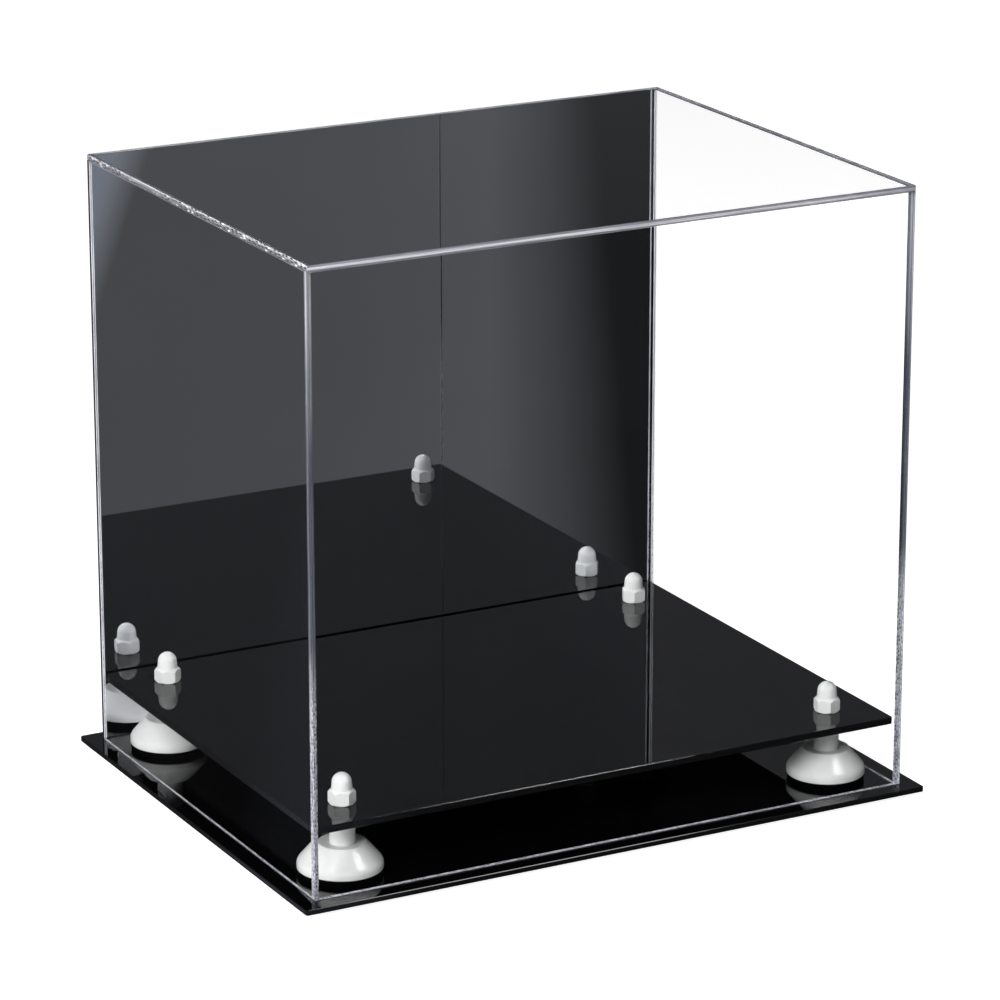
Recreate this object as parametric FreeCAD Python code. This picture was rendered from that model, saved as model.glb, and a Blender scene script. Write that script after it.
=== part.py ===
import FreeCAD, Part
import math
import os

# Table-top display case: a clear acrylic cover with a mirror back stands over a raised
# black platform. Four bolts, each with a pad, a bell, a sleeve and a cap nut, carry the
# platform above the black base plate.
# Millimetres. X runs along the front, Y from front to back, Z up from the table.
# The origin is on the table, under the middle of the base plate.

# Clear cover, outside sizes
cover_width = 349.25
cover_depth = 266.7
cover_height = 330.2
panel_thickness = 3.2
mirror_thickness = 2.0

# Base plate
base_margin = 9.5
base_thickness = 3.0

# Raised platform
platform_height = 38.1
platform_thickness = 4.0
platform_clearance = 0.6

# Cut edges of both black plates
plate_corner_radius = 1.5
plate_edge_break = 0.3

# Bolts with a flat head and a hexagon socket
bolt_diameter = 8.0
bolt_hole_clearance = 0.3
bolt_tip_chamfer = 0.9
bolt_head_diameter = 17.0
bolt_head_height = 2.2
bolt_head_rounding = 0.8
socket_across_flats = 5.0
socket_depth = 1.5
thread_engagement = 8.9
thread_clearance = 0.1

# Riser pads
pad_thickness = 3.0
pad_inset = 0.5
pad_rounding = 0.4

# Riser bells
bell_rim_diameter = 42.4
bell_edge_gap = 4.5
bell_height = 14.3
bell_widest_height = 2.3
bell_rim_rounding = 5.0
bell_lip_rounding = 0.9
bell_shoulder_diameter = 25.0
bell_shoulder_rounding = 0.6
bell_dish_depth = 0.4
bell_wall = 2.2
bell_hub_wall = 2.0
bell_rib_count = 6
bell_rib_thickness = 1.6
bell_rib_lift = 1.0

# Riser sleeves
sleeve_wall = 2.5
sleeve_edge_break = 0.3
sleeve_seat_depth = 3.0
sleeve_seat_clearance = 0.15

# Cap nuts
nut_wall = 1.4
nut_hex_step = 0.75
nut_hex_height = 7.9
nut_seat_chamfer = 1.0
nut_bore_gap = 2.5
nut_crown_thickness = 5.1
nut_crown_taper = 0.3
nut_mouth_chamfer = 0.5
nut_angles = [-26.0, 15.0, 5.0, -20.0]

# Feet
foot_ground_gap = 1.8
foot_top_diameter = 18.0
foot_taper = 1.5
foot_rounding = 0.6
foot_inset = 20.0

# Heights of the stack, from the table up
foot_height = bolt_head_height + foot_ground_gap
base_top = foot_height + base_thickness
bell_bottom = base_top + pad_thickness
bell_dish = bell_bottom + bell_height - bell_dish_depth
platform_top = base_top + platform_height
platform_bottom = platform_top - platform_thickness
wall_top = base_top + cover_height - panel_thickness

# Plan sizes that follow from the cover
base_width = cover_width + 2 * base_margin
base_depth = cover_depth + 2 * base_margin
inside_width = cover_width - 2 * panel_thickness
inside_depth = cover_depth - panel_thickness - mirror_thickness
inside_front = panel_thickness - cover_depth / 2
inside_centre_y = inside_front + inside_depth / 2
platform_width = inside_width - 2 * platform_clearance
platform_depth = inside_depth - 2 * platform_clearance

# Fits round the bolts
bolt_radius = bolt_diameter / 2
bolt_hole_radius = bolt_radius + bolt_hole_clearance
bolt_length = base_thickness + platform_height + thread_engagement
sleeve_radius = bolt_hole_radius + sleeve_wall
sleeve_seat_radius = sleeve_radius + sleeve_seat_clearance
sleeve_bottom = bell_dish - sleeve_seat_depth
hub_radius = sleeve_seat_radius + bell_hub_wall
rim_radius = bell_rim_diameter / 2
shoulder_radius = bell_shoulder_diameter / 2
nut_bore_radius = bolt_radius + thread_clearance
nut_bore_depth = thread_engagement + nut_bore_gap
nut_crown_radius = nut_bore_radius + nut_wall
nut_half_flats = nut_crown_radius + nut_hex_step
nut_height = nut_bore_depth + nut_crown_thickness

# Places of the four risers and of the four feet, in the same order
riser_inset = rim_radius + bell_edge_gap
riser_x = platform_width / 2 - riser_inset
riser_y = platform_depth / 2 - riser_inset
foot_x = base_width / 2 - foot_inset
foot_y = base_depth / 2 - foot_inset
corner_signs = [(-1, -1), (1, -1), (1, 1), (-1, 1)]
riser_places = [(sx * riser_x, inside_centre_y + sy * riser_y) for sx, sy in corner_signs]
foot_places = [(sx * foot_x, sy * foot_y) for sx, sy in corner_signs]

up = FreeCAD.Vector(0, 0, 1)
origin = FreeCAD.Vector(0, 0, 0)
same_height = 0.01


def block(width, depth, height, x, y, z):
    """Box with its lowest corner at x, y, z."""
    return Part.makeBox(width, depth, height, FreeCAD.Vector(x, y, z))


def rod(radius, height, z, place=(0, 0)):
    """Upright cylinder with its foot at height z."""
    return Part.makeCylinder(radius, height, FreeCAD.Vector(place[0], place[1], z), up)


def section_point(radius, z):
    """Point of a turned section, at a radius from the axis."""
    return FreeCAD.Vector(radius, 0, z)


def line(start, end):
    return Part.LineSegment(start, end).toShape()


def arc(centre, radius, start_angle, end_angle):
    """Arc of a turned section. Angles are in radians, from the outward radius towards up."""
    middle_angle = (start_angle + end_angle) / 2
    points = []
    for angle in (start_angle, middle_angle, end_angle):
        offset = FreeCAD.Vector(radius * math.cos(angle), 0, radius * math.sin(angle))
        points.append(centre + offset)
    return Part.Arc(*points).toShape()


def turned(edges):
    """Solid of revolution about Z from the edges of a closed section."""
    face = Part.Face(Part.Wire(edges))
    return face.revolve(origin, up, 360)


def turned_outline(points):
    """Solid of revolution from the corners of a straight-sided section."""
    corners = [section_point(radius, z) for radius, z in points]
    return turned([line(a, b) for a, b in zip(corners, corners[1:] + corners[:1])])


def hexagon(half_flats, height, z):
    """Hexagonal prism about Z with two of its corners on the X axis."""
    corner_radius = half_flats / math.cos(math.pi / 6)
    corners = []
    for k in range(7):
        angle = k * math.pi / 3
        corners.append(FreeCAD.Vector(corner_radius * math.cos(angle), corner_radius * math.sin(angle), z))
    return Part.Face(Part.makePolygon(corners)).extrude(up * height)


def is_upright(edge):
    return abs(edge.Vertexes[0].Z - edge.Vertexes[-1].Z) > same_height


def rims(shape, z):
    """The closed edges of a shape that lie at one height."""
    box_heights = [(edge, edge.BoundBox) for edge in shape.Edges if edge.isClosed()]
    return [edge for edge, box in box_heights if abs(box.ZMin - z) + abs(box.ZMax - z) < same_height]


def black_plate(width, depth, thickness, centre_y, z):
    """Plate with rounded corners, broken edges and the four bolt holes."""
    plate = block(width, depth, thickness, -width / 2, centre_y - depth / 2, z)
    plate = plate.makeFillet(plate_corner_radius, [e for e in plate.Edges if is_upright(e)])
    plate = plate.makeChamfer(plate_edge_break, [e for e in plate.Edges if not is_upright(e)])
    for place in riser_places:
        plate = plate.cut(rod(bolt_hole_radius, thickness, z, place))
    return plate


def base_plate():
    return black_plate(base_width, base_depth, base_thickness, 0, foot_height)


def platform():
    return black_plate(platform_width, platform_depth, platform_thickness, inside_centre_y, platform_bottom)


def cover_panels():
    """The five glued sheets of the cover, the mirror being its back wall."""
    left = -cover_width / 2
    front = -cover_depth / 2
    wall_height = cover_height - panel_thickness
    mirror_front = cover_depth / 2 - mirror_thickness
    side = block(panel_thickness, inside_depth, wall_height, 0, inside_front, base_top)
    return {
        "top_panel": block(cover_width, cover_depth, panel_thickness, left, front, wall_top),
        "front_panel": block(cover_width, panel_thickness, wall_height, left, front, base_top),
        "mirror_panel": block(cover_width, mirror_thickness, wall_height, left, mirror_front, base_top),
        "left_panel": side.translated(FreeCAD.Vector(left, 0, 0)),
        "right_panel": side.translated(FreeCAD.Vector(inside_width / 2, 0, 0)),
    }


def riser_pad():
    """Flat rubber disc between a bell and the base plate."""
    disc = rod(rim_radius - pad_inset, pad_thickness, base_top)
    disc = disc.makeFillet(pad_rounding, rims(disc, base_top) + rims(disc, bell_bottom))
    return disc.cut(rod(bolt_hole_radius, pad_thickness, base_top))


def bell_skin(rim, shoulder_z, inward):
    """Turned solid of the bell's outside, or of its hollow where inward is the wall."""
    bottom = bell_bottom
    rim_centre = section_point(rim_radius - bell_rim_rounding, bell_bottom + bell_widest_height)
    shoulder = section_point(shoulder_radius, bell_bottom + bell_height)
    reach = shoulder - rim_centre
    reach_angle = math.atan2(reach.z, reach.x)
    flank_angle = reach_angle - math.acos(bell_rim_rounding / reach.Length)
    flank = section_point(-math.sin(flank_angle), math.cos(flank_angle))
    rounding = bell_rim_rounding - inward
    normal = section_point(math.cos(flank_angle), math.sin(flank_angle))
    flank_start = rim_centre + normal * rounding
    flank_end = flank_start + flank * ((shoulder_z - flank_start.z) / flank.z)
    rim_side = section_point(rim, rim_centre.z)
    rim_foot = section_point(rim, bottom)
    axis_foot = section_point(0, bottom)
    axis_top = section_point(0, shoulder_z)
    return turned([
        line(axis_foot, rim_foot),
        line(rim_foot, rim_side),
        arc(rim_centre, rounding, 0, flank_angle),
        line(flank_start, flank_end),
        line(flank_end, axis_top),
        line(axis_top, axis_foot),
    ])


def riser_bell():
    """White moulded bell: thin shell, ribbed hub for the bolt, seat for the sleeve on top."""
    top = bell_bottom + bell_height
    shell = bell_skin(rim_radius, top, 0)
    shell = shell.makeFillet(bell_lip_rounding, rims(shell, bell_bottom))
    shell = shell.makeFillet(bell_shoulder_rounding, rims(shell, top))
    hollow = bell_skin(rim_radius - bell_wall, top - bell_wall, bell_wall)
    bell = shell.cut(hollow)
    ribs = rod(hub_radius, bell_height - bell_wall, bell_bottom)
    rib_bottom = bell_bottom + bell_rib_lift
    for k in range(bell_rib_count):
        rib_side = -bell_rib_thickness / 2
        rib = block(rim_radius, bell_rib_thickness, top - rib_bottom, 0, rib_side, rib_bottom)
        rib.rotate(origin, up, k * 360 / bell_rib_count)
        ribs = ribs.fuse(rib)
    bell = bell.fuse(ribs.common(hollow)).removeSplitter()
    dish_radius = shoulder_radius - bell_shoulder_rounding - bell_dish_depth
    dish = turned_outline([(0, bell_dish), (sleeve_seat_radius, bell_dish), (dish_radius, top), (0, top)])
    bell = bell.cut(dish)
    bell = bell.cut(rod(sleeve_seat_radius, sleeve_seat_depth, sleeve_bottom))
    return bell.cut(rod(bolt_hole_radius, bell_height, bell_bottom))


def riser_sleeve():
    """White neck tube that stands in the bell and carries the platform."""
    length = platform_bottom - sleeve_bottom
    tube = rod(sleeve_radius, length, sleeve_bottom)
    tube = tube.makeChamfer(sleeve_edge_break, rims(tube, sleeve_bottom) + rims(tube, platform_bottom))
    return tube.cut(rod(bolt_hole_radius, length, sleeve_bottom))


def bolt():
    """Flat-headed bolt with its head under the base plate and its thread in the cap nut."""
    head_bottom = foot_height - bolt_head_height
    head = rod(bolt_head_diameter / 2, bolt_head_height, head_bottom)
    head = head.makeFillet(bolt_head_rounding, rims(head, head_bottom))
    shank = rod(bolt_radius, bolt_length, foot_height)
    shank = shank.makeChamfer(bolt_tip_chamfer, rims(shank, foot_height + bolt_length))
    socket = hexagon(socket_across_flats / 2, socket_depth, head_bottom)
    return head.fuse(shank).removeSplitter().cut(socket)


def cap_nut():
    """Domed nut: hexagon with both ends chamfered, tapered crown and blind threaded bore."""
    seat = platform_top
    hex_top = seat + nut_hex_height
    corner_radius = nut_half_flats / math.cos(math.pi / 6)
    chamfer_rise = corner_radius - nut_crown_radius
    seat_radius = corner_radius - nut_seat_chamfer
    chamfers = turned_outline([
        (0, seat),
        (seat_radius, seat),
        (corner_radius, seat + nut_seat_chamfer),
        (corner_radius, hex_top - chamfer_rise),
        (nut_crown_radius, hex_top),
        (0, hex_top),
    ])
    body = hexagon(nut_half_flats, nut_hex_height, seat).common(chamfers)
    dome_radius = nut_crown_radius - nut_crown_taper
    dome_centre = section_point(0, seat + nut_height - dome_radius)
    crown_foot = section_point(nut_crown_radius, seat)
    crown_neck = section_point(nut_crown_radius, hex_top)
    dome_start = section_point(dome_radius, dome_centre.z)
    crown = turned([
        line(section_point(0, seat), crown_foot),
        line(crown_foot, crown_neck),
        line(crown_neck, dome_start),
        arc(dome_centre, dome_radius, 0, math.pi / 2),
        line(section_point(0, seat + nut_height), section_point(0, seat)),
    ])
    mouth_radius = nut_bore_radius + nut_mouth_chamfer
    bore = turned_outline([
        (0, seat),
        (mouth_radius, seat),
        (nut_bore_radius, seat + nut_mouth_chamfer),
        (nut_bore_radius, seat + nut_bore_depth),
        (0, seat + nut_bore_depth),
    ])
    return body.fuse(crown).removeSplitter().cut(bore)


def foot():
    """Tapered soft foot under the base plate."""
    top_radius = foot_top_diameter / 2
    bottom_radius = top_radius - foot_taper
    cone = turned_outline([(0, 0), (bottom_radius, 0), (top_radius, foot_height), (0, foot_height)])
    return cone.makeFillet(foot_rounding, rims(cone, 0))


def placed(shape, place, angle=0):
    """Copy of a shape made on the Z axis, turned about it and moved to a place in plan."""
    copy = shape.copy()
    copy.rotate(origin, up, angle)
    copy.translate(FreeCAD.Vector(place[0], place[1], 0))
    return copy


nodes = {"base_plate": base_plate(), "platform": platform()}
nodes.update(cover_panels())
riser_pieces = {
    "riser_pad": riser_pad(),
    "riser_bell": riser_bell(),
    "riser_sleeve": riser_sleeve(),
    "bolt": bolt(),
}
nut = cap_nut()
one_foot = foot()
for number, place in enumerate(riser_places, start=1):
    for name, shape in riser_pieces.items():
        nodes[f"{name}_{number}"] = placed(shape, place)
    nodes[f"cap_nut_{number}"] = placed(nut, place, nut_angles[number - 1])
    nodes[f"foot_{number}"] = placed(one_foot, foot_places[number - 1])

os.makedirs("parts", exist_ok=True)
for name, shape in nodes.items():
    if not shape.isValid() or len(shape.Solids) != 1:
        raise ValueError(f"{name} is not one valid solid")
    shape.Solids[0].exportStep(f"parts/{name}.step")
    print(name, round(shape.Volume / 1000, 3), "cm3")
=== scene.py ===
import math
import bmesh
import bpy
from mathutils import Matrix, Vector


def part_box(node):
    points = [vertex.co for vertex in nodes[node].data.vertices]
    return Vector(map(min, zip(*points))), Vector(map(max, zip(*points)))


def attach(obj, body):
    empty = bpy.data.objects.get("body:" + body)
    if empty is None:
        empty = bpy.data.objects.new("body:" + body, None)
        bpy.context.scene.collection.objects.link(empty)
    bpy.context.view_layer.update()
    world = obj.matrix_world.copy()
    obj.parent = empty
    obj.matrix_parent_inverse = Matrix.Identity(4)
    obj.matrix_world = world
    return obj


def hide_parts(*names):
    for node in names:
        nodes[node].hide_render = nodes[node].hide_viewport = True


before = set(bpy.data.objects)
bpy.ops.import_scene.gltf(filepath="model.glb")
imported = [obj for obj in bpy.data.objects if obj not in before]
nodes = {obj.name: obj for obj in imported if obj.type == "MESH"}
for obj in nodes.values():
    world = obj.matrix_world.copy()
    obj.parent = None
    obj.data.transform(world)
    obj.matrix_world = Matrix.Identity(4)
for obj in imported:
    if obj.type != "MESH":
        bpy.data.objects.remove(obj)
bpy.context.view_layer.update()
scene = bpy.context.scene
mm = 0.001
# sockets of a Mix node, whose names repeat: its two numbers, its two colours and the colour it gives
mixNumberA, mixNumberB = 2, 3
mixColourA, mixColourB, mixedColour = 6, 7, 2
print("frame loaded:", len(nodes), "nodes")


# sRGB hex, as read off a screen, to linear
def linear(hexColour):
    channels = [int(hexColour[i:i + 2], 16) / 255 for i in (1, 3, 5)]
    return tuple(c / 12.92 if c <= 0.04045 else ((c + 0.055) / 1.055) ** 2.4 for c in channels) + (1.0,)


# scale of a pattern whose grains are this far apart
def perMetre(millimetres):
    return 1 / (millimetres * mm)


# one node with its settings; an input takes a value or a link, and stops fill a colour ramp, which starts
# with two
def addNode(tree, kind, inputs=None, stops=(), **settings):
    node = tree.nodes.new(kind)
    for name, value in settings.items():
        setattr(node, name, value)
    for name, value in (inputs or {}).items():
        socket = node.inputs[name]
        if isinstance(value, bpy.types.NodeSocket):
            tree.links.new(value, socket)
        else:
            socket.default_value = value
    for number, (position, hexColour) in enumerate(stops):
        elements = node.color_ramp.elements
        element = elements[number] if number < 2 else elements.new(position)
        element.position = position
        element.color = linear(hexColour)
    return node


def newMaterial(name):
    material = bpy.data.materials.new(name)
    material.use_nodes = True
    tree = material.node_tree
    tree.nodes.clear()
    coords = addNode(tree, "ShaderNodeTexCoord").outputs["Object"]
    return material, tree, coords


def addPiece(name, mesh, materials, body, slot, *replaced):
    mesh.name = name
    for material in materials:
        mesh.materials.append(material)
    piece = bpy.data.objects.new(name, mesh)
    scene.collection.objects.link(piece)
    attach(piece, body)
    if replaced:
        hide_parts(*replaced)


# Clear sheets: slabs with broken edges, a hair short of their neighbours so that the seams read as lines
sheetCut = {"thicknessMm": 3.2, "heightMm": 340, "seamGapMm": 0.02, "edgeBreakMm": 0.25, "breakSegments": 2}
acrylicBody = {"ior": 1.49, "shadowTint": "#FAFBFB"}


# Clear acrylic: bends light, hardly mirrors it face on and shuts it in at the edges; lamps reach through
def clearAcrylic(tree, look, normal):
    tint = linear(look["tint"])
    rough = look["roughness"]
    ior = acrylicBody["ior"]
    fresnel = addNode(tree, "ShaderNodeFresnel", {"IOR": ior, "Normal": normal})
    share = addNode(tree, "ShaderNodeMath", {0: fresnel.outputs[0], 1: look["mirrorPower"]},
                    operation="POWER")
    bend = addNode(tree, "ShaderNodeBsdfRefraction",
                   {"Color": tint, "Roughness": rough, "IOR": ior, "Normal": normal})
    mirror = addNode(tree, "ShaderNodeBsdfGlossy", {"Color": tint, "Roughness": rough, "Normal": normal})
    clear = addNode(tree, "ShaderNodeMixShader",
                    {0: share.outputs[0], 1: bend.outputs[0], 2: mirror.outputs[0]})
    passing = addNode(tree, "ShaderNodeBsdfTransparent", {"Color": linear(acrylicBody["shadowTint"])})
    path = addNode(tree, "ShaderNodeLightPath")
    return addNode(tree, "ShaderNodeMixShader",
                   {0: path.outputs["Is Shadow Ray"], 1: clear.outputs[0], 2: passing.outputs[0]})


faceLook = {"tint": "#FFFFFF", "roughness": 0.0, "mirrorPower": 2.2, "waveMm": 55, "waveDepthMm": 0.004}


# Cast acrylic face, polished by the glass it was cast against: flat gloss with a faint waviness
def castAcrylicPolished():
    material, tree, coords = newMaterial("castAcrylicPolished")
    wave = addNode(tree, "ShaderNodeTexNoise",
                   {"Vector": coords, "Scale": perMetre(faceLook["waveMm"]), "Detail": 1.0})
    bump = addNode(tree, "ShaderNodeBump",
                   {"Height": wave.outputs["Fac"], "Distance": faceLook["waveDepthMm"] * mm})
    clear = clearAcrylic(tree, faceLook, bump.outputs["Normal"])
    addNode(tree, "ShaderNodeOutputMaterial", {"Surface": clear.outputs[0]})
    return material


# seam, free, mirror: milk and width in mm of the haze along a cemented seam, along the free lower edge and
# beside the mirror, the haze being partly the sheet's own haze and partly painted bright lines of light;
# patches:
# the range of a noise and the least share of milk where it is low
rimLook = {"tint": "#FFFFFF", "roughness": 0.02, "mirrorPower": 2.2, "insetMm": 2.2,
           "seam": (0.3, 0.6), "free": (0.95, 0.45), "mirror": (0.8, 2.2),
           "fade": [(0.55, "#FFFFFF"), (1.0, "#000000")], "patchMm": 20, "patchRange": (0.35, 0.6),
           "patchLeast": 0.6, "grainDepthMm": 0.01, "haze": "#F6F6F9", "hazeRoughness": 0.35}


# Rim of a sheet's face, wiped with solvent: a milky haze beside the cemented seams and along the free lower
# edge, which also carries painted bright lines of light
def castAcrylicRim():
    material, tree, coords = newMaterial("castAcrylicSolventHazeAndPaintedGlint")
    edgeMap = addNode(tree, "ShaderNodeUVMap", uv_map="edgeMap")
    across = addNode(tree, "ShaderNodeSeparateXYZ", {0: edgeMap.outputs[0]})
    band = addNode(tree, "ShaderNodeValToRGB", {"Fac": across.outputs["Y"]}, rimLook["fade"])
    patches = addNode(tree, "ShaderNodeTexNoise",
                      {"Vector": coords, "Scale": perMetre(rimLook["patchMm"]), "Detail": 3.0})
    thinnest, thickest = rimLook["patchRange"]
    uneven = addNode(tree, "ShaderNodeMapRange",
                     {"Value": patches.outputs["Fac"], "From Min": thinnest, "From Max": thickest,
                      "To Min": rimLook["patchLeast"]})
    hazeAndPaintedGlint = addNode(tree, "ShaderNodeMath", {0: band.outputs[0], 1: uneven.outputs[0]}, operation="MULTIPLY")
    hazeAndPaintedGlint = addNode(tree, "ShaderNodeMath", {0: hazeAndPaintedGlint.outputs[0], 1: across.outputs["X"]}, operation="MULTIPLY")
    grain = addNode(tree, "ShaderNodeBump",
                    {"Height": patches.outputs["Fac"], "Distance": rimLook["grainDepthMm"] * mm})
    clear = clearAcrylic(tree, rimLook, grain.outputs["Normal"])
    # white haze: partly the sheet's own haze, partly painted bright lines of light along the edges
    haze = addNode(tree, "ShaderNodeBsdfPrincipled",
                   {"Base Color": linear(rimLook["haze"]), "Roughness": rimLook["hazeRoughness"],
                    "IOR": acrylicBody["ior"]})
    both = addNode(tree, "ShaderNodeMixShader",
                   {0: hazeAndPaintedGlint.outputs[0], 1: clear.outputs[0], 2: haze.outputs[0]})
    addNode(tree, "ShaderNodeOutputMaterial", {"Surface": both.outputs[0]})
    return material


# skin: how far the sawn skin hides the clear body; lines: painted light and dark bands across the edge, for
# what refraction and inner reflection show there; rise: painted shade from the sheet's foot to its top;
# marks: size along and across the edge, slant in radians, share that is dark, where they are (threshold of a
# noise) and the heights they end between; foot: how much paler the edge is as far up as the marks go
uprightEdge = {"tint": "#D9DAE2", "roughness": 0.1, "mirrorPower": 1.0, "skin": 0.75, "streakMm": (60, 0.4),
               "marksMm": (2.2, 1.3), "slant": 0.0, "darkShare": 0.55, "stretchMm": 60, "marked": 0.25,
               "marksEndMm": (100, 140), "foot": 0.75, "darkMark": "#4C4D56",
               "paintedHeightShade": [(0.0, "#FFFFFF"), (0.28, "#FFFFFF"), (0.42, "#8E919A"), (0.72, "#989BA4"),
                        (0.92, "#FFFFFF")],
               "paintedReflectionBands": [(0.0, "#7C7E87"), (0.2, "#A2A4AD"), (0.5, "#B4B6C0"), (0.6, "#F4F5F9"),
                         (0.8, "#F0F2F6"), (0.88, "#A4A6B0"), (1.0, "#7C7E87")]}
topFrontEdge = {"tint": "#F0F0F4", "roughness": 0.08, "mirrorPower": 1.0, "skin": 0.75, "streakMm": (70, 0.5),
                "marksMm": (8.0, 3.0), "slant": 0.6, "darkShare": 0.4, "stretchMm": 240, "marked": 0.6,
                "marksEndMm": (1000, 2000), "foot": 0.0, "darkMark": "#6A6972",
                "paintedHeightShade": [(0.0, "#FFFFFF"), (1.0, "#FFFFFF")],
                "paintedReflectionBands": [(0.0, "#8F8E97"), (0.14, "#A7A6AF"), (0.24, "#F6F6F9"), (0.56, "#F8F8FA"),
                          (0.66, "#A5A4AE"), (1.0, "#8C8B95")]}
topSideEdge = {"tint": "#DEDEE2", "roughness": 0.1, "mirrorPower": 1.0, "skin": 0.9, "streakMm": (40, 0.6),
               "marksMm": (4.6, 1.5), "slant": 0.3, "darkShare": 0.7, "stretchMm": 90, "marked": 0.34,
               "marksEndMm": (1000, 2000), "foot": 0.0, "darkMark": "#3C3B40",
               "paintedHeightShade": [(0.0, "#FFFFFF"), (1.0, "#FFFFFF")],
               "paintedReflectionBands": [(0.0, "#626166"), (0.15, "#8A898E"), (0.6, "#A2A1A6"), (0.74, "#DCDCE0"),
                         (1.0, "#F0F0F2")]}
# what every sawn edge shares
sawnLook = {"footColour": "#E2E4EC", "streaks": [(0.36, "#BCBDC4"), (0.62, "#FFFFFF")], "markScatter": 0.5,
            "markShape": [(0.16, "#FFFFFF"), (0.42, "#000000")], "stretchFade": 0.14, "toneStep": 0.02,
            "paleMark": "#F4F5F8", "markStrength": 0.6, "markDepthMm": 0.15, "roughness": 0.28}


# Saw-cut acrylic edge, scraped and wiped with solvent: satin, with streaks along it from the scraper and,
# in stretches, the marks of the saw's teeth; across it and up it, painted bands of light and shade
def castAcrylicSawn(name, look):
    material, tree, coords = newMaterial(name)
    edgeMap = addNode(tree, "ShaderNodeUVMap", uv_map="edgeMap").outputs[0]
    across = addNode(tree, "ShaderNodeSeparateXYZ", {0: edgeMap})
    height = addNode(tree, "ShaderNodeSeparateXYZ", {0: coords}).outputs["Z"]
    through = addNode(tree, "ShaderNodeMapRange",
                      {"Value": across.outputs["Y"], "From Max": sheetCut["thicknessMm"] * mm})
    # painted light and dark bands across the edge, for what refraction and inner reflection show there
    paintedReflectionBands = addNode(tree, "ShaderNodeValToRGB", {"Fac": through.outputs[0]}, look["paintedReflectionBands"])
    upwards = addNode(tree, "ShaderNodeMapRange", {"Value": height, "From Max": sheetCut["heightMm"] * mm})
    # painted shade up the sheet's height: the upright edges darker over their middle, white at foot and top
    paintedHeightShade = addNode(tree, "ShaderNodeValToRGB", {"Fac": upwards.outputs[0]}, look["paintedHeightShade"])
    shaded = addNode(tree, "ShaderNodeMix",
                     {0: 1.0, mixColourA: paintedReflectionBands.outputs[0], mixColourB: paintedHeightShade.outputs[0]},
                     data_type="RGBA", blend_type="MULTIPLY")
    low, high = look["marksEndMm"]
    below = addNode(tree, "ShaderNodeMapRange", {"Value": height, "From Min": low * mm, "From Max": high * mm,
                                                 "To Min": 1.0, "To Max": 0.0})
    foot = addNode(tree, "ShaderNodeMath", {0: below.outputs[0], 1: look["foot"]}, operation="MULTIPLY")
    shaded = addNode(tree, "ShaderNodeMix",
                     {0: foot.outputs[0], mixColourA: shaded.outputs[mixedColour],
                      mixColourB: linear(sawnLook["footColour"])}, data_type="RGBA")
    drawn = addNode(tree, "ShaderNodeMapping",
                    {"Vector": edgeMap, "Scale": tuple(perMetre(size) for size in look["streakMm"]) + (1.0,)})
    streaks = addNode(tree, "ShaderNodeTexNoise",
                      {"Vector": drawn.outputs[0], "Scale": 1.0, "Detail": 3.0}, noise_dimensions="2D")
    shade = addNode(tree, "ShaderNodeValToRGB", {"Fac": streaks.outputs[0]}, sawnLook["streaks"])
    scraped = addNode(tree, "ShaderNodeMix",
                      {0: 1.0, mixColourA: shaded.outputs[mixedColour], mixColourB: shade.outputs[0]},
                      data_type="RGBA", blend_type="MULTIPLY")
    leant = addNode(tree, "ShaderNodeMapping",
                    {"Vector": edgeMap, "Rotation": (0.0, 0.0, look["slant"]),
                     "Scale": tuple(perMetre(size) for size in look["marksMm"]) + (1.0,)})
    cells = addNode(tree, "ShaderNodeTexVoronoi",
                    {"Vector": leant.outputs[0], "Scale": 1.0, "Randomness": sawnLook["markScatter"]},
                    voronoi_dimensions="2D")
    dots = addNode(tree, "ShaderNodeValToRGB", {"Fac": cells.outputs["Distance"]}, sawnLook["markShape"])
    patches = addNode(tree, "ShaderNodeTexNoise",
                      {"Vector": coords, "Scale": perMetre(look["stretchMm"]), "Detail": 2.0})
    where = addNode(tree, "ShaderNodeMapRange",
                    {"Value": patches.outputs[0], "From Min": look["marked"],
                     "From Max": look["marked"] + sawnLook["stretchFade"]})
    marks = addNode(tree, "ShaderNodeMath", {0: dots.outputs[0], 1: where.outputs[0]}, operation="MULTIPLY")
    marks = addNode(tree, "ShaderNodeMath", {0: marks.outputs[0], 1: below.outputs[0]}, operation="MULTIPLY")
    pick = addNode(tree, "ShaderNodeSeparateXYZ", {0: cells.outputs["Color"]})
    tone = addNode(tree, "ShaderNodeValToRGB", {"Fac": pick.outputs["X"]},
                   [(look["darkShare"], look["darkMark"]),
                    (look["darkShare"] + sawnLook["toneStep"], sawnLook["paleMark"])])
    colour = addNode(tree, "ShaderNodeMix",
                     {0: marks.outputs[0], mixColourA: scraped.outputs[mixedColour],
                      mixColourB: tone.outputs[0]}, data_type="RGBA")
    bump = addNode(tree, "ShaderNodeBump",
                   {"Height": marks.outputs[0], "Strength": sawnLook["markStrength"],
                    "Distance": sawnLook["markDepthMm"] * mm})
    clear = clearAcrylic(tree, look, bump.outputs[0])
    skin = addNode(tree, "ShaderNodeBsdfPrincipled",
                   {"Base Color": colour.outputs[mixedColour], "Roughness": sawnLook["roughness"],
                    "IOR": acrylicBody["ior"], "Normal": bump.outputs[0]})
    both = addNode(tree, "ShaderNodeMixShader", {0: look["skin"], 1: clear.outputs[0], 2: skin.outputs[0]})
    addNode(tree, "ShaderNodeOutputMaterial", {"Surface": both.outputs[0]})
    return material


# onEdge: how level a surface is where it stops being an edge; wipes: streaks of the cloth, squeezed to long
# thin patches and turned, and the range of their noise
blackLook = {"onEdge": [(0.3, "#FFFFFF"), (0.9, "#000000")], "edgeRoughness": 0.25, "cloudMm": 45,
             "cloud": [(0.3, "#030304"), (0.7, "#070708")], "wipeMm": 9, "wipeSqueeze": (1.0, 14.0, 1.0),
             "wipeTurn": (0, 0, 0.5), "wipeRange": (0.45, 0.75), "faceRoughness": (0.01, 0.022)}


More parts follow.
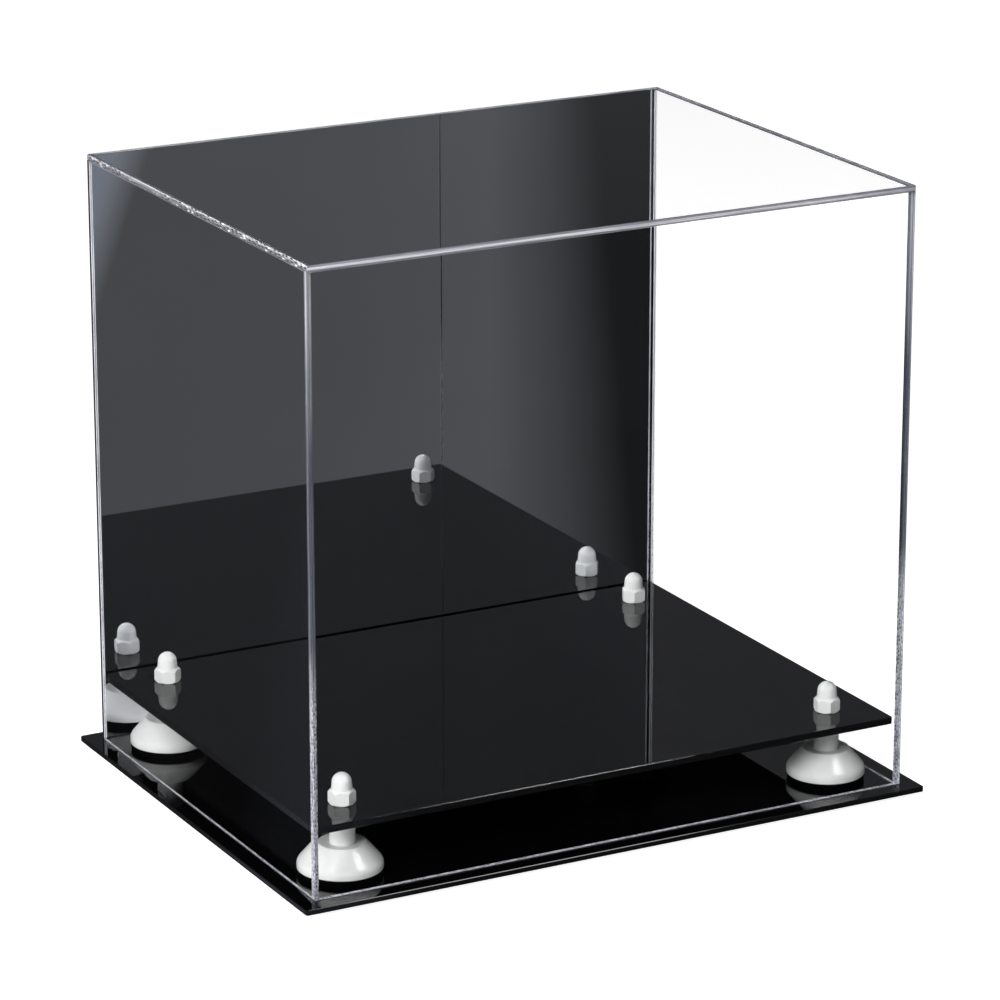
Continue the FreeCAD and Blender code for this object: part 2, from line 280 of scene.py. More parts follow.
# Black cast acrylic, polished faces and flame-polished edges: deep black that mirrors at a glance,
# with faint wiping scratches
def blackAcrylic():
    material, tree, coords = newMaterial("blackCastAcrylic")
    geometry = addNode(tree, "ShaderNodeNewGeometry")
    facing = addNode(tree, "ShaderNodeSeparateXYZ", {0: geometry.outputs["True Normal"]})
    flat = addNode(tree, "ShaderNodeMath", {0: facing.outputs["Z"]}, operation="ABSOLUTE")
    onEdge = addNode(tree, "ShaderNodeValToRGB", {"Fac": flat.outputs[0]}, blackLook["onEdge"])
    cloud = addNode(tree, "ShaderNodeTexNoise",
                    {"Vector": coords, "Scale": perMetre(blackLook["cloudMm"]), "Detail": 3.0})
    colour = addNode(tree, "ShaderNodeValToRGB", {"Fac": cloud.outputs[0]}, blackLook["cloud"])
    squeezed = addNode(tree, "ShaderNodeMapping",
                       {"Vector": coords, "Scale": blackLook["wipeSqueeze"],
                        "Rotation": blackLook["wipeTurn"]})
    wipes = addNode(tree, "ShaderNodeTexNoise",
                    {"Vector": squeezed.outputs[0], "Scale": perMetre(blackLook["wipeMm"]), "Detail": 4.0})
    clean, wiped = blackLook["wipeRange"]
    cleanRough, wipedRough = blackLook["faceRoughness"]
    faceRough = addNode(tree, "ShaderNodeMapRange",
                        {"Value": wipes.outputs[0], "From Min": clean, "From Max": wiped,
                         "To Min": cleanRough, "To Max": wipedRough})
    roughness = addNode(tree, "ShaderNodeMix", {0: onEdge.outputs[0], mixNumberA: faceRough.outputs[0],
                                                mixNumberB: blackLook["edgeRoughness"]})
    skin = addNode(tree, "ShaderNodeBsdfPrincipled",
                   {"Base Color": colour.outputs[0], "Roughness": roughness.outputs[0],
                    "IOR": acrylicBody["ior"]})
    addNode(tree, "ShaderNodeOutputMaterial", {"Surface": skin.outputs[0]})
    return material


nylonLook = {"cloudMm": 12, "cloud": [(0.3, "#E6E6E6"), (0.7, "#EFEFEE")], "cloudRange": (0.3, 0.7),
             "roughness": (0.17, 0.23), "ior": 1.53, "grainMm": 0.6, "grainStrength": 0.25,
             "grainDepthMm": 0.02}


# White nylon, injection moulded: semi-gloss, with a faint flow cloud and the mould's fine spark grain,
# drawn coarser than real so that it shows
def mouldedNylon():
    material, tree, coords = newMaterial("whiteNylonMoulded")
    cloud = addNode(tree, "ShaderNodeTexNoise",
                    {"Vector": coords, "Scale": perMetre(nylonLook["cloudMm"]), "Detail": 2.0})
    colour = addNode(tree, "ShaderNodeValToRGB", {"Fac": cloud.outputs[0]}, nylonLook["cloud"])
    grain = addNode(tree, "ShaderNodeTexNoise",
                    {"Vector": coords, "Scale": perMetre(nylonLook["grainMm"]), "Detail": 2.0})
    bump = addNode(tree, "ShaderNodeBump",
                   {"Height": grain.outputs[0], "Strength": nylonLook["grainStrength"],
                    "Distance": nylonLook["grainDepthMm"] * mm})
    thin, thick = nylonLook["cloudRange"]
    glossy, dull = nylonLook["roughness"]
    roughness = addNode(tree, "ShaderNodeMapRange", {"Value": cloud.outputs[0], "From Min": thin,
                                                     "From Max": thick, "To Min": glossy, "To Max": dull})
    skin = addNode(tree, "ShaderNodeBsdfPrincipled",
                   {"Base Color": colour.outputs[0], "IOR": nylonLook["ior"],
                    "Roughness": roughness.outputs[0], "Normal": bump.outputs[0]})
    addNode(tree, "ShaderNodeOutputMaterial", {"Surface": skin.outputs[0]})
    return material


rubberLook = {"grainMm": 0.8, "grain": [(0.35, "#020202"), (0.75, "#060606")], "grainStrength": 0.5,
              "grainDepthMm": 0.06, "roughness": 0.7, "shine": 0.1}


# Black rubber, die-cut from sheet: matt, nearly no shine, with a fine dusty grain, drawn coarser than real
# so that it shows
def blackRubber():
    material, tree, coords = newMaterial("blackRubberDieCut")
    grain = addNode(tree, "ShaderNodeTexNoise",
                    {"Vector": coords, "Scale": perMetre(rubberLook["grainMm"]), "Detail": 3.0})
    colour = addNode(tree, "ShaderNodeValToRGB", {"Fac": grain.outputs[0]}, rubberLook["grain"])
    bump = addNode(tree, "ShaderNodeBump",
                   {"Height": grain.outputs[0], "Strength": rubberLook["grainStrength"],
                    "Distance": rubberLook["grainDepthMm"] * mm})
    skin = addNode(tree, "ShaderNodeBsdfPrincipled",
                   {"Base Color": colour.outputs[0], "Roughness": rubberLook["roughness"],
                    "Specular IOR Level": rubberLook["shine"], "Normal": bump.outputs[0]})
    addNode(tree, "ShaderNodeOutputMaterial", {"Surface": skin.outputs[0]})
    return material


zincLook = {"spangleMm": 1.6, "dull": "#B9BDC1", "bright": "#D3D5D6", "cloudMm": 3, "cloudRange": (0.3, 0.7),
            "roughness": (0.22, 0.38)}


# Zinc-plated steel, barrel plated: pale blue-grey metal with soft cloudy spangle
def zincSteel():
    material, tree, coords = newMaterial("zincPlatedSteel")
    spangle = addNode(tree, "ShaderNodeTexVoronoi",
                      {"Vector": coords, "Scale": perMetre(zincLook["spangleMm"])})
    colour = addNode(tree, "ShaderNodeMix",
                     {0: spangle.outputs["Color"], mixColourA: linear(zincLook["dull"]),
                      mixColourB: linear(zincLook["bright"])}, data_type="RGBA")
    cloud = addNode(tree, "ShaderNodeTexNoise",
                    {"Vector": coords, "Scale": perMetre(zincLook["cloudMm"]), "Detail": 3.0})
    thin, thick = zincLook["cloudRange"]
    smooth, rough = zincLook["roughness"]
    roughness = addNode(tree, "ShaderNodeMapRange", {"Value": cloud.outputs[0], "From Min": thin,
                                                     "From Max": thick, "To Min": smooth, "To Max": rough})
    skin = addNode(tree, "ShaderNodeBsdfPrincipled",
                   {"Base Color": colour.outputs[mixedColour], "Metallic": 1.0,
                    "Roughness": roughness.outputs[0]})
    addNode(tree, "ShaderNodeOutputMaterial", {"Surface": skin.outputs[0]})
    return material


filmLook = {"cloudMm": 90, "cloud": [(0.3, "#E3E6EA"), (0.7, "#E9EBED")]}


# Silver film on the back of the mirror sheet: vacuum-coated aluminium, a touch blue
def silverFilm():
    material, tree, coords = newMaterial("aluminiumFilmVacuumCoated")
    cloud = addNode(tree, "ShaderNodeTexNoise",
                    {"Vector": coords, "Scale": perMetre(filmLook["cloudMm"]), "Detail": 1.0})
    colour = addNode(tree, "ShaderNodeValToRGB", {"Fac": cloud.outputs[0]}, filmLook["cloud"])
    skin = addNode(tree, "ShaderNodeBsdfPrincipled",
                   {"Base Color": colour.outputs[0], "Metallic": 1.0, "Roughness": 0.0})
    addNode(tree, "ShaderNodeOutputMaterial", {"Surface": skin.outputs[0]})
    return material


paintLook = {"cloudMm": 30, "cloud": [(0.3, "#1C1D1F"), (0.7, "#232427")], "peelMm": 1.5,
             "peelStrength": 0.4, "peelDepthMm": 0.02, "roughness": 0.42}


# Grey paint over the film, curtain coated: satin with a fine orange peel
def mirrorPaint():
    material, tree, coords = newMaterial("mirrorBackPaintCurtainCoated")
    cloud = addNode(tree, "ShaderNodeTexNoise",
                    {"Vector": coords, "Scale": perMetre(paintLook["cloudMm"]), "Detail": 4.0})
    colour = addNode(tree, "ShaderNodeValToRGB", {"Fac": cloud.outputs[0]}, paintLook["cloud"])
    peel = addNode(tree, "ShaderNodeTexNoise",
                   {"Vector": coords, "Scale": perMetre(paintLook["peelMm"]), "Detail": 1.0})
    bump = addNode(tree, "ShaderNodeBump",
                   {"Height": peel.outputs[0], "Strength": paintLook["peelStrength"],
                    "Distance": paintLook["peelDepthMm"] * mm})
    skin = addNode(tree, "ShaderNodeBsdfPrincipled",
                   {"Base Color": colour.outputs[0], "Roughness": paintLook["roughness"],
                    "Normal": bump.outputs[0]})
    addNode(tree, "ShaderNodeOutputMaterial", {"Surface": skin.outputs[0]})
    return material


bubbleLook = {"cloudMm": 2, "cloud": [(0.3, "#D6D9DF"), (0.7, "#F4F5F7")], "metallic": 0.5, "roughness": 0.15}


# Air bubble shut in the cement: reflects totally, so it looks like a bead of silver
def bubbleSkin():
    material, tree, coords = newMaterial("airBubbleInCement")
    cloud = addNode(tree, "ShaderNodeTexNoise", {"Vector": coords, "Scale": perMetre(bubbleLook["cloudMm"])})
    colour = addNode(tree, "ShaderNodeValToRGB", {"Fac": cloud.outputs[0]}, bubbleLook["cloud"])
    skin = addNode(tree, "ShaderNodeBsdfPrincipled",
                   {"Base Color": colour.outputs[0], "Metallic": bubbleLook["metallic"],
                    "Roughness": bubbleLook["roughness"]})
    addNode(tree, "ShaderNodeOutputMaterial", {"Surface": skin.outputs[0]})
    return material


polished = castAcrylicPolished()
rimmed = castAcrylicRim()
sawnUpright = castAcrylicSawn("castAcrylicSawnUpright", uprightEdge)
sawnTopFront = castAcrylicSawn("castAcrylicSawnTopFront", topFrontEdge)
sawnTopSide = castAcrylicSawn("castAcrylicSawnTopSide", topSideEdge)
black = blackAcrylic()
nylon = mouldedNylon()
rubber = blackRubber()
zinc = zincSteel()
silver = silverFilm()
paint = mirrorPaint()
bubble = bubbleSkin()
print("materials made")

# CAD nodes whose shape is right keep it and take the new finishes
nodeFinish = {"base_plate": black, "platform": black, "riser_bell": nylon, "riser_sleeve": nylon,
              "cap_nut": nylon, "riser_pad": rubber, "foot": rubber}
for nodeName, node in nodes.items():
    stem = nodeName.rstrip("0123456789").rstrip("_")
    if stem in nodeFinish:
        node.data.materials.clear()
        node.data.materials.append(nodeFinish[stem])

# how much of a normal lies along an axis where a face is square to it, and where it mostly faces it
squareOn = 0.99
mostlyOn = 0.7
yAxis, zAxis = 1, 2


# a sheet's box, short of its neighbours by the seam's gap
def sheetBox(name):
    low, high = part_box(name)
    gap = Vector((1, 1, 1)) * sheetCut["seamGapMm"] * mm
    return low + gap, high - gap


def slab(low, high, edgeBreak):
    mesh = bmesh.new()
    bmesh.ops.create_cube(mesh, size=1.0)
    middle = (low + high) / 2
    size = high - low
    for vertex in mesh.verts:
        vertex.co = Vector([m + c * s for m, c, s in zip(middle, vertex.co, size)])
    bmesh.ops.bevel(mesh, geom=mesh.edges[:], offset=edgeBreak, segments=sheetCut["breakSegments"],
                    profile=0.5, affect="EDGES")
    return mesh


def finished(mesh, name):
    data = bpy.data.meshes.new(name)
    mesh.to_mesh(data)
    mesh.free()
    return data


# faces polished with a rim round each, edges sawn; the edge map holds a place along and across an edge,
# or a rim's share of white haze (partly painted bright lines of light) and how far inwards
def clearSheet(name, *edgeMaterials):
    low, high = sheetBox(name)
    size = list(high - low)
    thin = size.index(min(size))
    wide = [axis for axis in range(3) if axis != thin]
    mesh = slab(low, high, sheetCut["edgeBreakMm"] * mm)
    faces = [face for face in mesh.faces if abs(face.normal[thin]) > squareOn]
    inset = rimLook["insetMm"] * mm
    rims = bmesh.ops.inset_individual(mesh, faces=faces, thickness=inset)["faces"]
    edgeMap = mesh.loops.layers.uv.new("edgeMap")
    faceSlot, rimSlot, frontSlot, sideSlot = 0, 1, 2, 1 + len(edgeMaterials)
    for face in mesh.faces:
        edgeSlot = sideSlot if abs(face.normal.x) > mostlyOn else frontSlot
        face.material_index = faceSlot if face in faces else rimSlot if face in rims else edgeSlot
        centre = face.calc_center_median()
        kind = "seam"
        if thin != zAxis and centre.z - low.z < inset:
            kind = "free"
        elif thin != yAxis and high.y - centre.y < inset:
            kind = "mirror"
        # share of white haze on this rim, partly painted bright lines of light, and its width
        hazeAndPaintedGlint, width = rimLook[kind]
        for loop in face.loops:
            corner = loop.vert.co
            if face in rims:
                inwards = min(min(corner[a] - low[a], high[a] - corner[a]) for a in wide)
                loop[edgeMap].uv = (hazeAndPaintedGlint, inwards / (width * mm))
            else:
                loop[edgeMap].uv = (corner[wide[0]] + corner[wide[1]], corner[thin] - low[thin])
    addPiece(name + "_sheet", finished(mesh, name), [polished, rimmed, *edgeMaterials],
             "cover", "clear_acrylic", name)


for sheetName in ("front_panel", "left_panel", "right_panel"):
    clearSheet(sheetName, sawnUpright)
clearSheet("top_panel", sawnTopFront, sawnTopSide)
print("clear sheets made")

# Mirror: clear sheet with the silver film on its back face and paint over the film and the edges
mirrorCoat = {"paintMm": 0.15, "edgeBreakMm": 0.15, "paintBreakShare": 0.25}


def mirrorPieces():
    low, high = sheetBox("mirror_panel")
    filmY = high.y - mirrorCoat["paintMm"] * mm
    mesh = slab(low, Vector((high.x, filmY, high.z)), mirrorCoat["edgeBreakMm"] * mm)
    frontSlot, filmSlot, edgeSlot = 0, 1, 2
    for face in mesh.faces:
        if face.normal.y < -squareOn:
            face.material_index = frontSlot
        elif face.normal.y > squareOn:
            face.material_index = filmSlot
        else:
            face.material_index = edgeSlot
    addPiece("mirror_sheet", finished(mesh, "mirror_sheet"), [polished, silver, paint],
             "cover", "mirror_acrylic", "mirror_panel")
    coatLow = Vector((low.x, filmY + sheetCut["seamGapMm"] * mm, low.z))
    mesh = slab(coatLow, high, mirrorCoat["paintMm"] * mm * mirrorCoat["paintBreakShare"])
    addPiece("mirror_paint", finished(mesh, "mirror_paint"), [paint],
             "cover", "mirror_acrylic", "mirror_panel")


mirrorPieces()
print("mirror made")


# node group with named inputs and one geometry output
def newGroup(name, inputs):
    group = bpy.data.node_groups.new(name, "GeometryNodeTree")
    for label, kind in inputs.items():
        group.interface.new_socket(label, in_out="INPUT", socket_type="NodeSocket" + kind)
    group.interface.new_socket("Geometry", in_out="OUTPUT", socket_type="NodeSocketGeometry")
    return group, addNode(group, "NodeGroupInput").outputs


def closeGroup(group, geometry, material):
    plain = addNode(group, "GeometryNodeRealizeInstances", {"Geometry": geometry})
    painted = addNode(group, "GeometryNodeSetMaterial", {"Geometry": plain.outputs[0], "Material": material})
    addNode(group, "NodeGroupOutput", {"Geometry": painted.outputs[0]})


# a plain mesh from a node group, with its inputs set by identifier
def grown(group, values):
    holder = bpy.data.objects.new(group.name, bpy.data.meshes.new(group.name))
    scene.collection.objects.link(holder)
    modifier = holder.modifiers.new("grow", "NODES")
    modifier.node_group = group
    for item in group.interface.items_tree:
        if item.in_out == "INPUT" and item.name in values:
            modifier[item.identifier] = values[item.name]
    depsgraph = bpy.context.evaluated_depsgraph_get()
    mesh = bpy.data.meshes.new_from_object(holder.evaluated_get(depsgraph), depsgraph=depsgraph)
    bpy.data.objects.remove(holder)
    return mesh


# Cement bubbles up a seam, larger towards its lower end; smallest and topShare are shares of the radius
bubbleSeam = {"pitchMm": 3.2, "radiusMm": 0.26, "smallest": 0.25, "topShare": 0.25, "scatterMm": 0.5,
              "endGapMm": 2.0, "subdivisions": 2, "seed": 11}


# a Random Value node takes vectors at sockets 0 and 1 and numbers at 2 and 3
def bubbleGroup():
    group, wanted = newGroup("cementBubbles", {"Start": "Vector", "End": "Vector", "Count": "Int",
                                               "Radius": "Float", "Scatter": "Vector", "Seed": "Int",
                                               "Material": "Material"})
    line = addNode(group, "GeometryNodeMeshLine",
                   {"Count": wanted["Count"], "Start Location": wanted["Start"], "Offset": wanted["End"]},
                   mode="END_POINTS")
    minus = addNode(group, "ShaderNodeVectorMath", {0: wanted["Scatter"], "Scale": -1.0}, operation="SCALE")
    jitter = addNode(group, "FunctionNodeRandomValue",
                     {0: minus.outputs[0], 1: wanted["Scatter"], "Seed": wanted["Seed"]},
                     data_type="FLOAT_VECTOR")
    moved = addNode(group, "GeometryNodeSetPosition",
                    {"Geometry": line.outputs[0], "Offset": jitter.outputs[0]})
    index = addNode(group, "GeometryNodeInputIndex")
    along = addNode(group, "ShaderNodeMath", {0: index.outputs[0], 1: wanted["Count"]}, operation="DIVIDE")
    fade = addNode(group, "ShaderNodeMapRange",
                   {"Value": along.outputs[0], "To Min": 1.0, "To Max": bubbleSeam["topShare"]})
    size = addNode(group, "FunctionNodeRandomValue",
                   {2: bubbleSeam["smallest"], 3: 1.0, "Seed": wanted["Seed"]}, data_type="FLOAT")
    scaled = addNode(group, "ShaderNodeMath", {0: size.outputs[1], 1: fade.outputs[0]}, operation="MULTIPLY")
    bead = addNode(group, "GeometryNodeMeshIcoSphere",
                   {"Radius": wanted["Radius"], "Subdivisions": bubbleSeam["subdivisions"]})
    beads = addNode(group, "GeometryNodeInstanceOnPoints",
                    {"Points": moved.outputs[0], "Instance": bead.outputs[0], "Scale": scaled.outputs[0]})
    closeGroup(group, beads.outputs[0], wanted["Material"])
    return group


def bubbleSeams():
    group = bubbleGroup()
    endGap = bubbleSeam["endGapMm"] * mm
    scatter = Vector((bubbleSeam["scatterMm"], 0.0, bubbleSeam["scatterMm"])) * mm
    for number, sheetName in enumerate(("left_panel", "right_panel"), start=1):
        low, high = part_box(sheetName)
        middleX = (low.x + high.x) / 2
        start = Vector((middleX, low.y, low.z + endGap))
        end = Vector((middleX, low.y, high.z - endGap))
        count = int((end - start).length / (bubbleSeam["pitchMm"] * mm))
        mesh = grown(group, {"Start": start, "End": end, "Count": count,
                             "Radius": bubbleSeam["radiusMm"] * mm, "Scatter": scatter,
                             "Seed": bubbleSeam["seed"] + number, "Material": bubble})
        addPiece("seam_bubbles_%d" % number, mesh, [], "cover", "clear_acrylic")


bubbleSeams()
print("seams made")

# Bolt: turned shank with a flat head and a hexagon socket, and a three-cornered thread swept along a helix
boltCut = {"diameterMm": 8.0, "pitchMm": 1.25, "depthMm": 0.68, "threadLengthMm": 22.0, "tipChamferMm": 0.9,
           "headHeightMm": 2.2, "headRoundMm": 0.8, "headRoundSteps": 5, "socketFlatsMm": 5.0,
           "socketDepthMm": 1.5, "segments": 60, "stepsPerTurn": 32}
triangleSides = 3
triangleDepth = 1.5  # from a corner to the side across, for a circle of radius 1 round it


def threadGroup():
    group, wanted = newGroup("boltThread", {"Radius": "Float", "Height": "Float", "Turns": "Float",
                                            "Ridge": "Float", "Material": "Material"})
    helix = addNode(group, "GeometryNodeCurveSpiral",
                    {"Resolution": boltCut["stepsPerTurn"], "Rotations": wanted["Turns"],
                     "Start Radius": wanted["Radius"], "End Radius": wanted["Radius"],
                     "Height": wanted["Height"], "Reverse": False})
    section = addNode(group, "GeometryNodeCurvePrimitiveCircle",
                      {"Resolution": triangleSides, "Radius": wanted["Ridge"]})
    ridge = addNode(group, "GeometryNodeCurveToMesh",
                    {"Curve": helix.outputs[0], "Profile Curve": section.outputs[0], "Fill Caps": True})
    closeGroup(group, ridge.outputs[0], wanted["Material"])
    return group


# rings of points about an upright axis, round or six-sided, joined into a closed skin
def ringSkin(centre, rings, segments):
    mesh = bmesh.new()
    loops = []
    sixth = math.pi / 3
    for z, radius, sixSided in rings:
        loop = []
        for k in range(segments):
            angle = 2 * math.pi * k / segments
            reach = radius
            if sixSided:
                reach = radius / math.cos((angle + sixth / 2) % sixth - sixth / 2)
            spot = (centre.x + reach * math.cos(angle), centre.y + reach * math.sin(angle), z)
            loop.append(mesh.verts.new(spot))
        loops.append(loop)
    for lower, upper in zip(loops, loops[1:]):
        for k in range(segments):
            mesh.faces.new((lower[k - 1], lower[k], upper[k], upper[k - 1]))
    mesh.faces.new(loops[0])
    mesh.faces.new(loops[-1])
    bmesh.ops.recalc_face_normals(mesh, faces=mesh.faces[:])
    return mesh


def bolts():
    group = threadGroup()
    shank = boltCut["diameterMm"] / 2 * mm
    core = shank - boltCut["depthMm"] * mm
    flats = boltCut["socketFlatsMm"] / 2 * mm
    rounding = boltCut["headRoundMm"] * mm
    roundSteps = boltCut["headRoundSteps"]
    chamfer = boltCut["tipChamferMm"] * mm
    pitch = boltCut["pitchMm"] * mm
    ridge = (shank - core) / triangleDepth
    for number in (1, 2, 3, 4):
        name = "bolt_%d" % number
        low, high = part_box(name)
        centre = (low + high) / 2
        headRadius = (high.x - low.x) / 2
        headTop = low.z + boltCut["headHeightMm"] * mm
        threadStart = high.z - boltCut["threadLengthMm"] * mm
        rings = [(low.z + boltCut["socketDepthMm"] * mm, flats, True), (low.z, flats, True)]
        for step in range(roundSteps + 1):
            angle = step / roundSteps * math.pi / 2
            ringZ = low.z + rounding * (1 - math.cos(angle))
            rings.append((ringZ, headRadius - rounding * (1 - math.sin(angle)), False))
        rings += [(headTop, headRadius, False), (headTop, shank, False), (threadStart, shank, False),
                  (threadStart + shank - core, core, False), (high.z - chamfer, core, False),
                  (high.z, core - chamfer / 2, False)]
        mesh = ringSkin(centre, rings, boltCut["segments"])
        addPiece(name + "_shank", finished(mesh, name), [zinc], name, "zinc_plated_steel", name)
        height = high.z - threadStart - chamfer - pitch
        thread = grown(group, {"Radius": shank - ridge, "Height": height, "Turns": height / pitch,
                               "Ridge": ridge, "Material": zinc})
        thread.transform(Matrix.Translation((centre.x, centre.y, threadStart + pitch / 2)))
        addPiece(name + "_thread", thread, [], name, "zinc_plated_steel", name)


bolts()
print("bolts made")

# Stage: pale floor, white all round to the eye, and a dark studio in mirrors and gloss; the dark floor's
# colours run from left to right across its span, as the camera sees them
stageLook = {"floorMetres": 30.0, "floorLift": 0.96, "ambient": 0.06, "mottleMm": 300,
             "mottle": [(0.3, "#EFEFEF"), (0.7, "#F1F1F1")], "domeMetres": 9.0, "domeSegments": (48, 24),
             "foldMm": 2500, "folds": [(0.35, "#56575A"), (0.65, "#68696C")],
             "turnDegrees": 28.19, "darkSpanMetres": (-0.2, 0.213),
             "darkFloor": [(0.0, "#7A7F8A"), (0.02, "#74787F"), (0.075, "#4C4D50"), (0.49, "#4E4F52"),
                           (0.78, "#555659"), (0.895, "#434345"), (0.97, "#2A2A2B"), (1.0, "#1C1C1D")]}
white = linear("#FFFFFF")
firstBounce = 0.5  # ray depths are whole numbers, so this parts none from one or more


# 1 where the eye looks straight at the stage, also through clear sheets; 0 for light that falls on the object
def straightSight(tree, path):
    seen = addNode(tree, "ShaderNodeMath",
                   {0: path.outputs["Is Camera Ray"], 1: path.outputs["Is Glossy Ray"]}, operation="MAXIMUM")
    seen = addNode(tree, "ShaderNodeMath", {0: seen.outputs[0], 1: path.outputs["Is Transmission Ray"]},
                   operation="MAXIMUM")
    direct = addNode(tree, "ShaderNodeMath", {0: path.outputs["Diffuse Depth"], 1: firstBounce},
                     operation="LESS_THAN")
    sight = addNode(tree, "ShaderNodeMath", {0: seen.outputs[0], 1: direct.outputs[0]}, operation="MULTIPLY")
    return sight.outputs[0]


def worldLight():
    world = bpy.data.worlds.new("studioWorld")
    scene.world = world
    world.use_nodes = True
    tree = world.node_tree
    tree.nodes.clear()
    path = addNode(tree, "ShaderNodeLightPath")
    strength = addNode(tree, "ShaderNodeMix", {0: straightSight(tree, path), mixNumberA: stageLook["ambient"],
                                               mixNumberB: 1.0})
    sky = addNode(tree, "ShaderNodeBackground", {"Color": white, "Strength": strength.outputs[0]})
    addNode(tree, "ShaderNodeOutputWorld", {"Surface": sky.outputs[0]})


def stageThing(name, build, material):
    mesh = bmesh.new()
    build(mesh)
    thing = bpy.data.objects.new(name, finished(mesh, name))
    scene.collection.objects.link(thing)
    thing.data.materials.append(material)
    return thing


# White paint to the eye; in mirrors a dark studio floor that pales to blue-grey on the left
def paleFloorPaint():
    material, tree, coords = newMaterial("paleFloorPaint")
    path = addNode(tree, "ShaderNodeLightPath")
    mottle = addNode(tree, "ShaderNodeTexNoise", {"Vector": coords, "Scale": perMetre(stageLook["mottleMm"])})
    colour = addNode(tree, "ShaderNodeValToRGB", {"Fac": mottle.outputs[0]}, stageLook["mottle"])
    matt = addNode(tree, "ShaderNodeBsdfDiffuse", {"Color": colour.outputs[0]})
    lift = addNode(tree, "ShaderNodeMath", {0: straightSight(tree, path), 1: stageLook["floorLift"]},
                   operation="MULTIPLY")
    glow = addNode(tree, "ShaderNodeEmission", {"Color": white, "Strength": lift.outputs[0]})
    pale = addNode(tree, "ShaderNodeAddShader", {0: matt.outputs[0], 1: glow.outputs[0]})
    turned = addNode(tree, "ShaderNodeMapping",
                     {"Vector": coords, "Rotation": (0, 0, -math.radians(stageLook["turnDegrees"]))})
    across = addNode(tree, "ShaderNodeSeparateXYZ", {0: turned.outputs[0]})
    leftEnd, rightEnd = stageLook["darkSpanMetres"]
    shade = addNode(tree, "ShaderNodeMapRange",
                    {"Value": across.outputs["X"], "From Min": leftEnd, "From Max": rightEnd})
    darkColour = addNode(tree, "ShaderNodeValToRGB", {"Fac": shade.outputs[0]}, stageLook["darkFloor"])
    dark = addNode(tree, "ShaderNodeEmission", {"Color": darkColour.outputs[0], "Strength": 1.0})
    mirrored = addNode(tree, "ShaderNodeMath", {0: path.outputs["Glossy Depth"], 1: firstBounce},
                       operation="GREATER_THAN")
    both = addNode(tree, "ShaderNodeMixShader",
                   {0: mirrored.outputs[0], 1: pale.outputs[0], 2: dark.outputs[0]})
    addNode(tree, "ShaderNodeOutputMaterial", {"Surface": both.outputs[0]})
    return material


# Dark cloth that only mirrors and gloss see
def darkStudioCloth():
    material, tree, coords = newMaterial("darkStudioCloth")
    path = addNode(tree, "ShaderNodeLightPath")
    folds = addNode(tree, "ShaderNodeTexNoise",
                    {"Vector": coords, "Scale": perMetre(stageLook["foldMm"]), "Detail": 1.0})
    colour = addNode(tree, "ShaderNodeValToRGB", {"Fac": folds.outputs[0]}, stageLook["folds"])
    cloth = addNode(tree, "ShaderNodeEmission", {"Color": colour.outputs[0], "Strength": 1.0})
    clear = addNode(tree, "ShaderNodeBsdfTransparent")
    mirrored = addNode(tree, "ShaderNodeMath", {0: path.outputs["Glossy Depth"], 1: firstBounce},
                       operation="GREATER_THAN")
    both = addNode(tree, "ShaderNodeMixShader",
                   {0: mirrored.outputs[0], 1: clear.outputs[0], 2: cloth.outputs[0]})
    addNode(tree, "ShaderNodeOutputMaterial", {"Surface": both.outputs[0]})
    return material


def floorShape(mesh):
    bmesh.ops.create_grid(mesh, x_segments=1, y_segments=1, size=stageLook["floorMetres"] / 2)


def domeShape(mesh):
    around, upwards = stageLook["domeSegments"]
    bmesh.ops.create_uvsphere(mesh, u_segments=around, v_segments=upwards, radius=stageLook["domeMetres"])


worldLight()
stageThing("floor", floorShape, paleFloorPaint())
dome = stageThing("studio_dome", domeShape, darkStudioCloth())
dome.visible_camera = False
dome.visible_diffuse = False
dome.visible_shadow = False

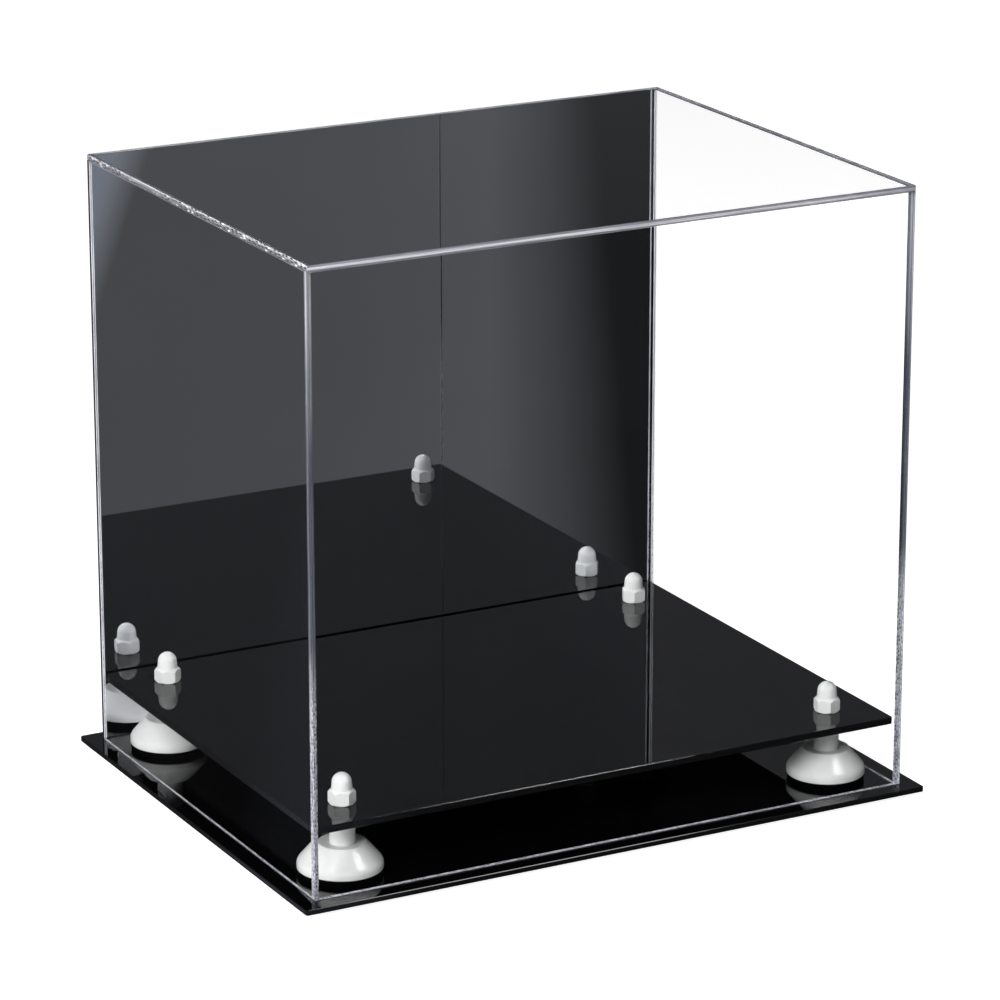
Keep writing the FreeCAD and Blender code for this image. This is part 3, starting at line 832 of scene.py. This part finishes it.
# Lamps: a broad low one on the left, a softer one beside the camera, one overhead, a close one on the right
# that shows only as a highlight, and a faint one that stands in for the light the mirror sends back; all but
# the highlight are kept out of mirrors, gloss and clear sheets. Degrees, metres and watts
lamps = {"left": {"azimuth": -68.0, "elevation": 17.0, "distance": 1.7, "width": 0.7, "height": 0.7,
                  "power": 22.5, "highlight": False},
         "front": {"azimuth": -38.0, "elevation": 31.0, "distance": 1.6, "width": 0.5, "height": 0.5,
                   "power": 11.2, "highlight": False},
         "right": {"azimuth": 31.4, "elevation": 43.0, "distance": 1.04, "width": 0.4, "height": 0.3,
                   "power": 3.0, "highlight": True},
         "overhead": {"azimuth": -28.0, "elevation": 82.0, "distance": 1.8, "width": 1.2, "height": 1.2,
                      "power": 1.7, "highlight": False},
         "mirrorReturn": {"azimuth": 180.0, "elevation": 0.0, "distance": 0.133, "width": 0.33, "height": 0.3,
                          "power": 0.24, "highlight": False}}
view = {"azimuth": -28.19, "elevation": 17.5, "distance": 2.4876, "lensMm": 167.75, "sensorMm": 36.0,
        "lookAtMm": (0.0, -4.65, 157.06)}
lookAt = Vector(view["lookAtMm"]) * mm


# places a lamp or the camera round the point looked at, turned to it
def aim(thing, azimuth, elevation, distance):
    a, e = math.radians(azimuth), math.radians(elevation)
    outwards = Vector((math.sin(a) * math.cos(e), -math.cos(a) * math.cos(e), math.sin(e)))
    thing.location = lookAt + distance * outwards
    thing.rotation_euler = (lookAt - thing.location).to_track_quat("-Z", "Y").to_euler()
    scene.collection.objects.link(thing)


for lampName, lamp in lamps.items():
    light = bpy.data.lights.new(lampName, "AREA")
    light.shape = "RECTANGLE"
    light.size = lamp["width"]
    light.size_y = lamp["height"]
    light.energy = lamp["power"]
    lampObject = bpy.data.objects.new(lampName, light)
    lampObject.visible_camera = False
    lampObject.visible_glossy = lamp["highlight"]
    lampObject.visible_diffuse = not lamp["highlight"]
    lampObject.visible_transmission = lamp["highlight"]
    aim(lampObject, lamp["azimuth"], lamp["elevation"], lamp["distance"])

camera = bpy.data.cameras.new("camera")
camera.lens = view["lensMm"]
camera.sensor_width = view["sensorMm"]
cameraObject = bpy.data.objects.new("camera", camera)
aim(cameraObject, view["azimuth"], view["elevation"], view["distance"])
scene.camera = cameraObject
scene.view_settings.view_transform = "Standard"
# light runs far along inside the clear sheets before it leaves an edge
scene.cycles.max_bounces = 24
scene.cycles.glossy_bounces = 16
scene.cycles.transmission_bounces = 16
print("stage set")
